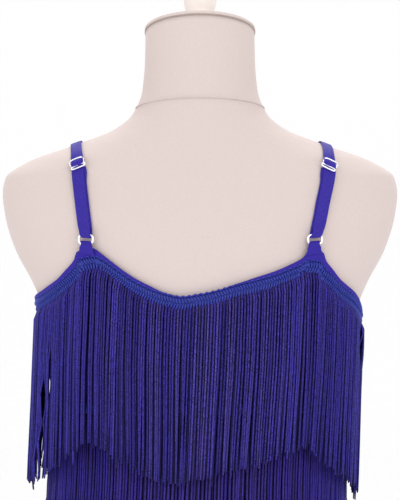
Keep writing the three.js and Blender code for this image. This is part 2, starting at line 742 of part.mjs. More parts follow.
const metal = () => new THREE.MeshStandardMaterial({ color: COLOURS.metal, roughness: 0.25, metalness: 1 });
for (const side of ['left', 'right']) {
  addRibbon(`strap_${side}`, side, strapPath(SLIDER_LEAN[side]), STRAP_WALL);
  addRibbon(`tab_${side}`, side, tabPath(), STRAP_WALL);

  const { vertices, faces } = ringSolid();
  const ring = addMesh(`ring_${side}`, vertices, faces, COLOURS.metal, 0.25, 1);
  ring.applyMatrix4(frameOn(side, RING_TURN, RING_OUT));

  const slider = new THREE.Mesh(sliderGeometry(), metal());
  slider.name = `slider_${side}`;
  slider.applyMatrix4(
    frameOn(side, SLIDER_TURN, SLIDER_OUT).multiply(
      new THREE.Matrix4().makeRotationZ(SLIDER_LEAN[side] * RADIAN),
    ),
  );
  group.add(slider);
}

export default group;
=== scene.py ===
# %% Load the frame
import math

import bpy
import numpy as np
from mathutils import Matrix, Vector


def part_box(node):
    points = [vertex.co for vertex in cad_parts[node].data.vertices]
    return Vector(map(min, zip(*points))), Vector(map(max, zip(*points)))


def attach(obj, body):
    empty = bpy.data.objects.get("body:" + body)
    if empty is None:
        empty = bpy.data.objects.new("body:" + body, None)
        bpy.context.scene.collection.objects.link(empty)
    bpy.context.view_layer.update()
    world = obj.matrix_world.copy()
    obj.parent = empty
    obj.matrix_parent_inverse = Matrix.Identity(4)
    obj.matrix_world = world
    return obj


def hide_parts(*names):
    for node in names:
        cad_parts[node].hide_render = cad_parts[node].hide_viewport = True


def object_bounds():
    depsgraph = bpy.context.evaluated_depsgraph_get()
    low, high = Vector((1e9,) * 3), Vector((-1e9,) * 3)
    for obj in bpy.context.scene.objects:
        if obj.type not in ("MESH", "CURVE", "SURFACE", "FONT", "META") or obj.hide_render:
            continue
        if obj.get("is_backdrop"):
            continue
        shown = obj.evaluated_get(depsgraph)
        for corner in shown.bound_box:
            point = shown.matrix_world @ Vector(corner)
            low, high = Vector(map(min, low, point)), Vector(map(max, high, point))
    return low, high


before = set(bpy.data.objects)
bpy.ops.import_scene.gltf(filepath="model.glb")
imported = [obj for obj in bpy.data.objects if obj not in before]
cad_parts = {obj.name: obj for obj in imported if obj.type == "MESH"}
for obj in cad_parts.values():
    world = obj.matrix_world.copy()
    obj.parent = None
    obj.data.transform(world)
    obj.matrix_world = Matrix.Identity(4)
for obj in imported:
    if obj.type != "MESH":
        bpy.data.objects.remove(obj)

cad_box = [list(map(float, corner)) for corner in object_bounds()]
MM = 0.001
draw = np.random.default_rng(7)
print("frame loaded:", len(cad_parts), "nodes")

# %% [markdown]
# A dress form is a padded shell whose horizontal cuts are rounded ovals. It could be sculpted, or
# subdivided from a rough mesh. Here each cut is worked out from one row of a short table, because
# every layer of the dress can then be made from the same surface, moved out.

# %% The form's cuts
# z, half width, depth of the back, depth of the front, roundness (2 is an ellipse), millimetres
FORM_SECTIONS = np.array([
    (620, 153, 104, 98, 2.2), (700, 163, 117, 104, 2.2), (790, 168, 124, 107, 2.2),
    (880, 159, 111, 105, 2.2), (960, 136, 88, 98, 2.15), (1020, 126, 79, 92, 2.1),
    (1085, 142, 88, 101, 2.15), (1140, 151, 97, 114, 2.2), (1185, 158, 102, 120, 2.2),
    (1208, 167, 104, 117, 2.2), (1240, 184, 103, 107, 2.2), (1272, 194, 98, 93, 2.3),
    (1296, 197, 91, 80, 2.3), (1312, 194, 84, 70, 2.3), (1328, 171, 76, 58, 2.3),
    (1344, 127, 69, 51, 2.2), (1360, 86, 64, 48, 2.1), (1376, 67, 60, 49, 2.0),
    (1400, 57.5, 55, 51, 2.0), (1430, 55, 52, 54, 2.0), (1457, 54.5, 49, 57, 2.0),
])
NECK_TOP = 1457
NECK_TILT = 0.28
NECK_TILT_FROM = 1376


def smooth(xs, ys, x):
    """Cubic through rows: each slope is the harmonic mean of its neighbours', level at a turn."""
    xs, ys, x = np.asarray(xs, float), np.asarray(ys, float), np.asarray(x, float)
    step = np.diff(xs)
    rise = np.diff(ys) / step
    product = rise[:-1] * rise[1:]
    total = np.where(product > 0, rise[:-1] + rise[1:], 1.0)
    slope = np.zeros_like(ys)
    slope[1:-1] = np.where(product > 0, 2 * product / total, 0.0)
    i = np.clip(np.searchsorted(xs, x) - 1, 0, len(xs) - 2)
    t = np.clip((x - xs[i]) / step[i], 0, 1)
    ease = t * t * (3 - 2 * t)
    leave = t * (1 - t) ** 2 * slope[i] * step[i]
    arrive = t * t * (1 - t) * slope[i + 1] * step[i]
    return ys[i] + (ys[i + 1] - ys[i]) * ease + leave - arrive


def section(z):
    """Half width, back, front and roundness of the form's cut at height z, each an array."""
    return [smooth(FORM_SECTIONS[:, 0], FORM_SECTIONS[:, k], z) for k in (1, 2, 3, 4)]


def on_section(cut, angle, out):
    """Superellipse: x and y are powers of cosine and sine times the half axes, moved out."""
    wide, back, front, power = cut
    c, s = np.cos(angle), np.sin(angle)
    depth = np.where(s < 0, back, front)
    x = np.sign(c) * np.abs(c) ** (2 / power) * (wide + out)
    y = np.sign(s) * np.abs(s) ** (2 / power) * (depth + out)
    return x, y


def add_mesh(name, points, faces, material):
    """A mesh object from points in millimetres and four-cornered faces, with its slot."""
    mesh = bpy.data.meshes.new(name)
    points = np.asarray(points, float).reshape(-1, 3) * MM
    faces = np.asarray(faces, int)
    mesh.from_pydata(points, [], faces.tolist())
    mesh.polygons.foreach_set("use_smooth", [True] * len(mesh.polygons))
    mesh.update()
    thing = bpy.data.objects.new(name, mesh)
    bpy.context.collection.objects.link(thing)
    thing.data.materials.append(material)
    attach(thing, "root")
    print(name, len(points), "points", len(faces), "faces")
    return thing


def grid_faces(rows, columns, round_columns=False, start=0):
    """Quads of a grid numbered row by row; a round grid joins its last column to its first."""
    r = np.arange(rows - 1)[:, None]
    c = np.arange(columns if round_columns else columns - 1)[None, :]
    n = (c + 1) % columns
    quads = np.stack([r * columns + c, r * columns + n, (r + 1) * columns + n,
                      (r + 1) * columns + c], axis=-1)
    return quads.reshape(-1, 4) + start


# %% [markdown]
# A finish is a small node tree. A weave could be painted as an image, but a noise stretched along
# the threads, read in object coordinates, stays sharp at any distance and needs no picture.

# %% Finishes
def finish(name, colour, roughness, sheen=0.0, metallic=0.0, spread=0.12, scale=(900, 900, 900),
           bump=0.2, depth=0.0003, noise_detail=3.0, coat=0.0, gloss=0.5, shaded=False):
    """Base colour varied by a stretched noise, which is also the bump that makes the threads.

    A shaded finish is multiplied by the mesh's own attribute called shade, one value a strand: its
    random tone, painted shade on the inner strands and a painted sheen near the middle.
    """
    material = bpy.data.materials.new(name)
    material.use_nodes = True
    nodes, links = material.node_tree.nodes, material.node_tree.links
    shader = nodes["Principled BSDF"]
    where = nodes.new("ShaderNodeTexCoord")
    place = nodes.new("ShaderNodeMapping")
    place.inputs["Scale"].default_value = scale
    grain = nodes.new("ShaderNodeTexNoise")
    grain.inputs["Scale"].default_value = 1.0
    grain.inputs["Detail"].default_value = noise_detail
    ramp = nodes.new("ShaderNodeValToRGB")
    low = [channel * (1 - spread) for channel in colour]
    high = [min(channel * (1 + spread), 1.0) for channel in colour]
    ramp.color_ramp.elements[0].position = 0.3
    ramp.color_ramp.elements[0].color = (*low, 1)
    ramp.color_ramp.elements[1].position = 0.7
    ramp.color_ramp.elements[1].color = (*high, 1)
    raised = nodes.new("ShaderNodeBump")
    raised.inputs["Strength"].default_value = bump
    raised.inputs["Distance"].default_value = depth
    links.new(where.outputs["Object"], place.inputs["Vector"])
    links.new(place.outputs["Vector"], grain.inputs["Vector"])
    links.new(grain.outputs["Fac"], ramp.inputs["Fac"])
    links.new(grain.outputs["Fac"], raised.inputs["Height"])
    colour_out = ramp.outputs["Color"]
    if shaded:
        shade = nodes.new("ShaderNodeAttribute")
        shade.attribute_name = "shade"
        product = nodes.new("ShaderNodeVectorMath")
        product.operation = "MULTIPLY"
        links.new(colour_out, product.inputs[0])
        links.new(shade.outputs["Vector"], product.inputs[1])
        colour_out = product.outputs["Vector"]
    links.new(colour_out, shader.inputs["Base Color"])
    links.new(raised.outputs["Normal"], shader.inputs["Normal"])
    shader.inputs["Roughness"].default_value = roughness
    shader.inputs["Metallic"].default_value = metallic
    shader.inputs["Sheen Weight"].default_value = sheen
    shader.inputs["Sheen Roughness"].default_value = 0.35
    shader.inputs["Sheen Tint"].default_value = (0.55, 0.58, 0.95, 1)
    shader.inputs["Coat Weight"].default_value = coat
    shader.inputs["Specular IOR Level"].default_value = gloss
    return material


def linen():
    """A fine soft noise with a faint warm sheen: the plain weave of the form's cover."""
    material = finish("linen_cover", (0.595, 0.505, 0.482), 0.9, spread=0.03, scale=(420, 420, 900),
                      bump=0.25, depth=0.0002)
    shader = material.node_tree.nodes["Principled BSDF"]
    shader.inputs["Sheen Weight"].default_value = 0.1
    shader.inputs["Sheen Tint"].default_value = (1, 0.95, 0.92, 1)
    return material


LINEN = linen()
SEAM = finish("neck_seam_thread", (0.36, 0.29, 0.26), 0.9, bump=0.3)
KNOB = finish("knob_lacquer", (0.80, 0.73, 0.69), 0.45, spread=0.02, scale=(60, 60, 60), coat=0.2)
SLIP = finish("slip_knit", (0.014, 0.009, 0.13), 0.7, gloss=0.1, scale=(1500, 1500, 700))
BINDING = finish("folded_binding", (0.032, 0.019, 0.27), 0.6, sheen=0.02, gloss=0.1, scale=(1800, 1800, 600))
BRAID = finish("chain_braid", (0.027, 0.040, 0.31), 0.4, sheen=0.08, gloss=0.25, spread=0.4,
               scale=(1600, 1600, 1200), bump=0.5)
WEBBING = finish("strap_webbing", (0.034, 0.021, 0.27), 0.55, sheen=0.02, gloss=0.12, spread=0.4,
                 scale=(2400, 2400, 500), bump=0.4)
METAL = finish("plated_wire", (0.93, 0.92, 0.96), 0.28, metallic=1.0, spread=0.04,
               scale=(300, 300, 300), bump=0.03)
STAND = finish("stand_powder_coat", (0.83, 0.81, 0.78), 0.5, spread=0.02, scale=(900, 900, 900),
               bump=0.1)
# The wide spread paints light and dark specks along the strands: painted glints of the chainette loops over
# a tone that differs at random. The lower tiers' spread does the same.
FRINGE = finish("fringe_strands", (0.0225, 0.0165, 0.190), 0.5, sheen=0.03, gloss=0.12, spread=0.9,
                scale=(900, 900, 1000), bump=0.5, depth=0.0004, shaded=True)
# The lower tiers are a darker copy of the strands: painted shade from the tier above.
FRINGE_LOW_PAINTED_SHADE = finish("fringe_strands_low_painted_shade", (0.016, 0.009, 0.160), 0.5, sheen=0.04, gloss=0.15, spread=0.45,
                    scale=(420, 420, 650), bump=0.5, depth=0.0004, shaded=True)
print("finishes:", len(bpy.data.materials))

# %% [markdown]
# The form itself: a tall grid of points, one row for each height. A subdivided copy of the CAD
# solid would do, but a fine grid from the table keeps the slope of the shoulders exact. The neck's
# rows tilt as they rise, so the cap slopes down to the front.

# %% The form
ANGLES = np.linspace(0, 2 * math.pi, 128, endpoint=False)


def form_rows(levels, out, lift=0.0):
    """Rows round the form: height falls with y by the tilt, which fades in up the neck."""
    z = np.asarray(levels, float)[:, None]
    x, y = on_section(section(z), ANGLES[None, :], np.asarray(out, float))
    share = np.maximum(z - NECK_TILT_FROM, 0) / (NECK_TOP - NECK_TILT_FROM)
    return np.stack([x, y, z - NECK_TILT * share * y + lift], axis=-1)


def closed_stack(rows):
    """Points and faces of rows of one length, bottom first, with a fan at each end."""
    count, around = rows.shape[:2]
    points = rows.reshape(-1, 3)
    points = np.vstack([points, rows[0].mean(axis=0), rows[-1].mean(axis=0)])
    faces = grid_faces(count, around, True).tolist()
    here, after = np.arange(around), (np.arange(around) + 1) % around
    bottom, top = count * around, count * around + 1
    fans = [(bottom, b, a) for a, b in zip(here.tolist(), after.tolist())]
    last = (count - 1) * around
    fans += [(top, last + a, last + b) for a, b in zip(here.tolist(), after.tolist())]
    return points, faces + fans


def add_solid(name, points, faces, material, slot):
    """A mesh from points in millimetres with faces of three or four corners."""
    mesh = bpy.data.meshes.new(name)
    mesh.from_pydata((points * MM).tolist(), [], faces)
    mesh.polygons.foreach_set("use_smooth", [True] * len(mesh.polygons))
    mesh.update()
    thing = bpy.data.objects.new(name, mesh)
    bpy.context.collection.objects.link(thing)
    mesh.materials.append(material)
    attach(thing, "root")
    print(name, len(points), "points")
    return thing


levels = np.concatenate([np.linspace(620, 1300, 90), np.linspace(1302, 1400, 60),
                         np.linspace(1404, NECK_TOP, 12)])
form = add_solid("form_cover", *closed_stack(form_rows(levels, 0.0)), LINEN, "form_cloth")
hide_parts("dress_form")

# %% [markdown]
# The neck ends in a separate cap, a padded disc with rounded rims. Between cap and cover runs a
# dark cord-like seam. The base of the neck has a second seam, a shallow raised line.

# %% Neck cap and seams
cap_profile = np.array([(-0.6, 0.6), (0.4, 1.2), (0.9, 2.2), (0.7, 3.4), (-0.6, 4.4), (-6, 4.8)])
cap_rows = np.concatenate([form_rows([NECK_TOP], out, lift) for out, lift in cap_profile])
cap = add_solid("cap_disc", *closed_stack(cap_rows), LINEN, "form_cloth")
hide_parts("neck_cap")


def tube(path, radius, sides=8):
    """A closed tube round a closed path: circles square to the path's direction."""
    ahead = np.roll(path, -1, axis=0) - np.roll(path, 1, axis=0)
    ahead /= np.linalg.norm(ahead, axis=1, keepdims=True)
    up = np.tile([0.0, 0.0, 1.0], (len(path), 1))
    side = np.cross(ahead, up)
    side /= np.linalg.norm(side, axis=1, keepdims=True)
    rise = np.cross(side, ahead)
    turn = np.linspace(0, 2 * math.pi, sides, endpoint=False)
    ring = (np.cos(turn)[None, :, None] * side[:, None] + np.sin(turn)[None, :, None]
            * rise[:, None]) * radius
    points = path[:, None] + ring
    rows = np.concatenate([points, points[:1]])
    faces = grid_faces(len(path) + 1, sides, True) % (len(path) * sides)
    return rows[:-1].reshape(-1, 3), faces


top_seam, top_faces = tube(form_rows([NECK_TOP], 0.1, 0.2)[0], 0.7)
add_mesh("cap_seam", top_seam, top_faces[:, ::-1], SEAM)
base_line = form_rows([1381.0], 0.1)[0]
base_line[:, 2] -= base_line[:, 1] * 0.12
base_points, base_faces = tube(base_line, 0.45)
add_mesh("neck_seam", base_points, base_faces[:, ::-1], LINEN)

# %% [markdown]
# The knob, flange, pole and base are turned pieces. A lathe profile is carried round an axis; the
# real ones are turned or spun just so. The knob leans with the cap.

# %% Turned pieces
def turned(name, profile, material, slot, node, around=64):
    """Radius along a smooth profile, carried round Z, with a pole at each end."""
    profile = np.asarray(profile, float)
    turn = np.linspace(0, 2 * math.pi, around, endpoint=False)
    rows = np.stack([profile[:, 0, None] * np.cos(turn), profile[:, 0, None] * np.sin(turn),
                     np.repeat(profile[:, 1, None], around, axis=1)], axis=-1)
    points, faces = closed_stack(rows)
    thing = add_solid(name, points, faces, material, slot)
    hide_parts(node)
    return thing


knob_heights = np.linspace(0, 46.6, 40)
knob_radius = smooth([0, 1, 5, 9, 16, 23, 31, 39, 45, 47], [17, 18, 18, 14, 13, 15.5, 16.5, 14, 8, 1],
                     knob_heights)
knob = turned("turned_knob", np.stack([knob_radius, knob_heights], 1), KNOB, "knob", "neck_knob")
neck_cut = section(np.array(float(NECK_TOP)))
knob_y = float(neck_cut[2] - neck_cut[1]) / 2
lean = math.atan(NECK_TILT)
spots = np.empty(len(knob.data.vertices) * 3)
knob.data.vertices.foreach_get("co", spots)
spots = spots.reshape(-1, 3)
tilted_y = spots[:, 1] * math.cos(lean) + spots[:, 2] * math.sin(lean)
tilted_z = -spots[:, 1] * math.sin(lean) + spots[:, 2] * math.cos(lean)
knob_foot = (NECK_TOP - NECK_TILT * knob_y + 5.0) * MM
knob.data.vertices.foreach_set("co", np.stack([spots[:, 0], tilted_y + knob_y * MM,
                                               tilted_z + knob_foot], 1).ravel())
base_low, base_high = [np.array(corner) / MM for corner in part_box("stand_base")]
base_edge = base_high[0]
turned("round_base", [(base_edge - 1, 0), (base_edge, 1), (base_edge, 7), (base_edge - 2, 10),
                      (base_edge - 8, 13.5), (110, 17), (60, 20), (42, 24), (31, 31), (27, 42),
                      (26, 58), (25, 60)], STAND, "stand", "stand_base", 96)
pole_low, pole_high = [np.array(corner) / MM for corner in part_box("stand_pole")]
turned("pole_tube", [(14, pole_low[2]), (15, pole_low[2] + 1), (15, pole_high[2] - 1),
                     (14, pole_high[2])], STAND, "stand", "stand_pole")
flange_low, flange_high = [np.array(corner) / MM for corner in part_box("stand_flange")]
turned("pole_flange", [(43, flange_low[2]), (45, flange_low[2] + 1.5), (45, flange_high[2] - 0.5),
                       (44.5, flange_high[2])], STAND, "stand", "stand_flange")

# %% [markdown]
# The dress hangs from one curved upper edge. It is drawn as heights over x, once for the back and
# once for the front: the neckline dips left of the middle, and rises to a peak under each strap.

# %% The upper edge of the dress
# x, z and trim, the width of plain binding above the braid, millimetres
BACK_EDGE = np.array([
    (-170, 1193, 4), (-154, 1198, 4), (-138, 1209, 4), (-127, 1220, 5), (-119, 1229.5, 6),
    (-115.5, 1238, 8), (-101, 1241, 8), (-91, 1234.5, 6), (-79, 1225, 5), (-62, 1213, 4),
    (-45, 1204, 3), (-33, 1198.5, 1.2), (-17, 1195, 0.8), (0, 1197.5, 0.8), (16, 1201, 0.8),
    (34, 1207, 1.2), (52, 1213, 3), (70, 1219, 4), (86, 1226, 5), (97, 1232, 7), (103, 1238, 9),
    (115.5, 1237, 9), (119, 1229, 7), (126, 1220, 5), (134, 1210, 4), (146, 1200, 4),
    (170, 1181, 4)], float)
FRONT_EDGE = np.array([
    (170, 1181, 4), (146, 1203, 4), (128, 1226, 5), (111, 1256, 8), (99, 1256, 8),
    (84, 1244, 5), (50, 1229, 4), (0, 1221, 4), (-50, 1229, 4), (-84, 1244, 5),
    (-99, 1256, 8), (-111, 1256, 8), (-128, 1230, 5), (-146, 1211, 4), (-170, 1193, 4)], float)
BRAID_WIDTH = 11.0
SLIP_OUT = 3.7
HEM_Z = 690.0


def edge_angles(edge, is_back):
    """The angle whose superellipse point has the row's x: arccosine of a power of its share."""
    wide, _, _, power = section(edge[:, 1])
    share = np.minimum(np.abs(edge[:, 0]) / wide, 1)
    turn = np.arccos(np.sign(edge[:, 0]) * share ** (power / 2))
    return 2 * math.pi - turn if is_back else turn


ALL_ANGLES = np.concatenate([edge_angles(FRONT_EDGE, False), edge_angles(BACK_EDGE, True)[1:]])
ALL_Z = np.concatenate([FRONT_EDGE[:, 1], BACK_EDGE[1:, 1]])
ALL_TRIM = np.concatenate([FRONT_EDGE[:, 2], BACK_EDGE[1:, 2]])


def edge_z(angle):
    """Height of the upper edge at an angle."""
    return smooth(ALL_ANGLES, ALL_Z, angle)


def edge_trim(angle):
    """Plain binding above the braid at an angle."""
    return smooth(ALL_ANGLES, ALL_TRIM, angle)


print("edge from", ALL_Z.min(), "to", ALL_Z.max(), "mm")

# %% [markdown]
# The slip is two close-fitting knit panels that meet at the sides. Each could be pinned cloth in a
# simulation, but it only follows the form, so it is one grid between the upper edge and the hem:
# the form's own points moved out, with a second grid inside for its wall. Small soft wrinkles cross
# the waist, mostly under the fringe.

# %% Slip panels
def layer(name, angles, share_rows, z_of, out_of, wall, material):
    """Grid of points at z_of(angle, share), moved out, and a second grid a wall further in."""
    a = angles[None, :]
    v = share_rows[:, None]
    z = z_of(a, v)
    out = out_of(a, v, z)
    cut = section(z)
    outer = np.stack([*on_section(cut, a + 0 * z, out), z], axis=-1)
    inner = np.stack([*on_section(cut, a + 0 * z, out - wall), z], axis=-1)
    rows, columns = z.shape
    count = rows * columns
    points = np.concatenate([outer.reshape(-1, 3), inner.reshape(-1, 3)])
    front = grid_faces(rows, columns)[:, ::-1]
    back = grid_faces(rows, columns, start=count)
    border = np.concatenate([
        np.arange(columns), np.arange(1, rows) * columns + columns - 1,
        (rows - 1) * columns + np.arange(columns - 2, -1, -1), np.arange(rows - 2, 0, -1) * columns])
    nxt = np.roll(border, -1)
    rim = np.stack([border, nxt, nxt + count, border + count], axis=-1)
    faces = np.concatenate([front, back, rim])
    return add_mesh(name, points, faces, material)


def slip_height(a, v):
    """Straight blend from the upper edge down to the hem."""
    return edge_z(a) * (1 - v) + HEM_Z * v + 0 * a


def slip_out(a, v, z):
    """The slip's outer face with soft crossing wrinkles near the waist."""
    fold = np.sin(z / 9 + 3 * np.sin(a * 2.3)) * np.exp(-((z - 1020) / 40) ** 2)
    return SLIP_OUT - 0.2 + 0.35 * fold


SIDE = 0.004
BACK = np.linspace(math.pi + SIDE, 2 * math.pi - SIDE, 220)
FRONT = np.linspace(SIDE, math.pi - SIDE, 220)
down = np.linspace(0, 1, 90)
panels = {}
for side, angles in (("back", BACK), ("front", FRONT)):
    panel = layer(f"slip_panel_{side}", angles, down, slip_height, slip_out, 1.0, SLIP)
    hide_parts(f"slip_{side}")
    panels[side] = panel

# %% [markdown]
# The upper edge is finished with a folded binding. It is a rounded strip over the raw edge: its
# profile is a low arch, so light catches its crown.

# %% Binding
def binding_height(a, v):
    """From just above the edge down to the braid."""
    return edge_z(a) + 0.6 - (edge_trim(a) + 0.8) * v


def binding_out(a, v, z):
    """A low arch: a half sine across the strip."""
    return SLIP_OUT + 0.3 + 1.1 * np.sqrt(np.clip(np.sin(math.pi * v), 0, 1)) + 0 * a


fine = np.linspace(0, 1, 9)
for side, angles in (("back", np.linspace(math.pi + SIDE, 2 * math.pi - SIDE, 500)),
                     ("front", np.linspace(SIDE, math.pi - SIDE, 500))):
    strip = layer(f"edge_binding_{side}", angles, fine, binding_height, binding_out, 0.6, BINDING)
    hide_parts(f"binding_{side}")

# %% [markdown]
# The braid that heads the fringe is a narrow gimp: slanted thread loops in two rows that meet in a
# chevron, with a small scallop above. A bump could fake it, but the loops stand up and catch the
# light, so each is a short fat stitch, and hundreds are joined in one mesh of few faces.

# %% Braid
PITCH = 2.8
# about the body's mean radius: it turns a length along the edge into an angle, millimetres
EDGE_RADIUS = 160


def stitches(starts, ends, bulge, radius, normals, steps=5, sides=5):
    """Short round threads: a straight line plus a sine bulge, thinner at both ends."""
    t = np.linspace(0, 1, steps)[None, :, None]
    middle = starts[:, None] * (1 - t) + ends[:, None] * t
    middle = middle + normals[:, None] * (np.sin(math.pi * t) * bulge)
    ahead = ends - starts
    ahead /= np.linalg.norm(ahead, axis=1, keepdims=True)
    side = np.cross(ahead, normals)
    side /= np.linalg.norm(side, axis=1, keepdims=True)
    turn = np.linspace(0, 2 * math.pi, sides, endpoint=False)
    thick = radius * (0.45 + 0.55 * np.sin(math.pi * t[..., 0]))[..., None, None]
    ring = (np.cos(turn)[None, None, :, None] * side[:, None, None]
            + np.sin(turn)[None, None, :, None] * normals[:, None, None])
    points = middle[:, :, None] + ring * thick
    count = len(starts)
    one = grid_faces(steps, sides, True)
    faces = (one[None] + (np.arange(count) * steps * sides)[:, None, None]).reshape(-1, 4)
    caps = []
    for row, flip in ((0, True), (steps - 1, False)):
        ring_ids = row * sides + np.arange(sides)
        ring_ids = ring_ids[::-1] if flip else ring_ids
        caps.append(ring_ids[None] + (np.arange(count) * steps * sides)[:, None])
    return points.reshape(-1, 3), faces.tolist() + np.concatenate(caps).tolist()


def on_edge(angle, drop, out):
    """Points at a drop below the upper edge, moved out from the form."""
    z = edge_z(angle) - drop
    return np.stack([*on_section(section(z), angle, out), z], axis=-1)


def even_angles(low, high, pitch, drop=8.0):
    """Angles spaced evenly along the edge's own length."""
    dense = np.linspace(low, high, 4000)
    line = on_edge(dense, drop, SLIP_OUT)
    run = np.concatenate([[0], np.cumsum(np.linalg.norm(np.diff(line, axis=0), axis=1))])
    return np.interp(np.arange(pitch / 2, run[-1], pitch), run, dense), run[-1]


def outward(angle, z):
    """Unit vector square to the cut at an angle, level."""
    near = np.stack(on_section(section(z), angle, 0.0), -1)
    far = np.stack(on_section(section(z), angle, 1.0), -1)
    way = far - near
    way /= np.linalg.norm(way, axis=1, keepdims=True)
    return np.concatenate([way, np.zeros((len(way), 1))], axis=1)


def braid_piece(side, low, high):
    """Two slanted rows and a scallop row, joined in one mesh; the flat band is its own piece."""
    angle, length = even_angles(low, high, PITCH)
    trim = edge_trim(angle)
    turn = 2.2 / EDGE_RADIUS
    normals = outward(angle, edge_z(angle) - 8)
    out = SLIP_OUT + 1.5
    steep = (edge_z(angle + 0.004) - edge_z(angle - 0.004)) / (0.008 * EDGE_RADIUS)
    rows = [(0.2, 6.0, turn), (12.0, 5.2, turn * 0.6)]
    all_points, all_faces, start = [], [], 0
    for begin, end, slant in rows:
        a = on_edge(angle, trim + begin, out)
        square = steep * 0.45 * (end - begin) / EDGE_RADIUS
        b = on_edge(angle + slant + square, trim + end, out)
        points, faces = stitches(a, b, 0.8, 0.95, normals)
        all_points.append(points)
        all_faces += [[corner + start for corner in face] for face in faces]
        start += len(points)
    wide_angle, _ = even_angles(low, high, PITCH * 2)
    wide_trim = edge_trim(wide_angle)
    a = on_edge(wide_angle - 2.4 / EDGE_RADIUS, wide_trim + 0.4, out)
    b = on_edge(wide_angle + 2.4 / EDGE_RADIUS, wide_trim + 0.4, out)
    lift = np.tile([0.0, 0.0, 1.0], (len(wide_angle), 1))
    points, faces = stitches(a, b, 2.0, 0.8, lift, steps=7)
    all_points.append(points)
    all_faces += [[corner + start for corner in face] for face in faces]
    points = np.concatenate(all_points)
    return add_solid(f"braid_stitches_{side}", points, all_faces, BRAID, "braid"), length


for side, low, high in (("back", math.pi + SIDE, 2 * math.pi - SIDE), ("front", SIDE, math.pi - SIDE)):
    piece, run = braid_piece(side, low, high)
    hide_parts(f"braid_{side}")
    print(f"braid {side}: {run:.0f} mm")


def braid_back_height(a, v):
    """The band's own width below the trim."""
    return edge_z(a) - edge_trim(a) - 0.4 - (BRAID_WIDTH - 0.8) * v


def braid_back_out(a, v, z):
    """Flat, just off the slip."""
    return SLIP_OUT + 0.9 + 0 * z


for side, angles in (("back", BACK), ("front", FRONT)):
    layer(f"braid_band_{side}", angles, np.linspace(0, 1, 4), braid_back_height, braid_back_out, 0.5,
          BRAID)

# %% [markdown]
# The fringe is chainette: hundreds of soft cords of one length, hung side by side from the braid.
# A hair system could comb them, but it exports badly. Each strand here is a thin tube of few
# sides, all computed at once: it hangs from its own point, drifts a little to one side, bends by
# its own small random sway, and rests on whatever is widest above it.

# %% Fringe
LENGTH = 169.0
SWAY = 0.0375
REST = SLIP_OUT + 1.2
STEPS = 15
SIDES = 5
# x, lowest z, highest z and half opening of the partings near the sides, millimetres
PARTINGS = [(-153.5, 1080, 1112, 2.4), (-155.5, 1014, 1064, 2.6), (-160.5, 1014, 1042, 2.4),
            (-146.5, 1090, 1150, 0.9), (159, 1128, 1168, 1.5), (-165, 1014, 1032, 1.8)]


def widest_above(top, z):
    """Largest cut anywhere between a strand's top and each of its heights, by a running maximum."""
    levels = np.linspace(0, 1, 12)[:, None, None]
    cuts = section(z[None] * levels + top[None, :, None] * (1 - levels))
    return [cuts[0].max(0), cuts[1].max(0), cuts[2].max(0), section(z)[3]]


def push_out(x, y, cut, out):
    """Scale a point away from the axis until its superellipse reach is one."""
    wide, back, front, power = cut
    depth = np.where(y < 0, back, front)
    reach = (np.abs(x) / (wide + out)) ** power + (np.abs(y) / (depth + out)) ** power
    grow = np.where(reach < 1, np.maximum(reach, 1e-6) ** (-1 / power), 1.0)
    return x * grow, y * grow


def parted(x, z):
    """Strands near a parting move aside from it: a bell curve in x times a bell in height."""
    for where, low, high, half in PARTINGS:
        tall = np.clip((z - low) / 8, 0, 1) * np.clip((high - z) / 8, 0, 1)
        away = x - where
        x = x + np.sign(away) * half * tall * np.exp(-(away / 3.5) ** 2)
    return x


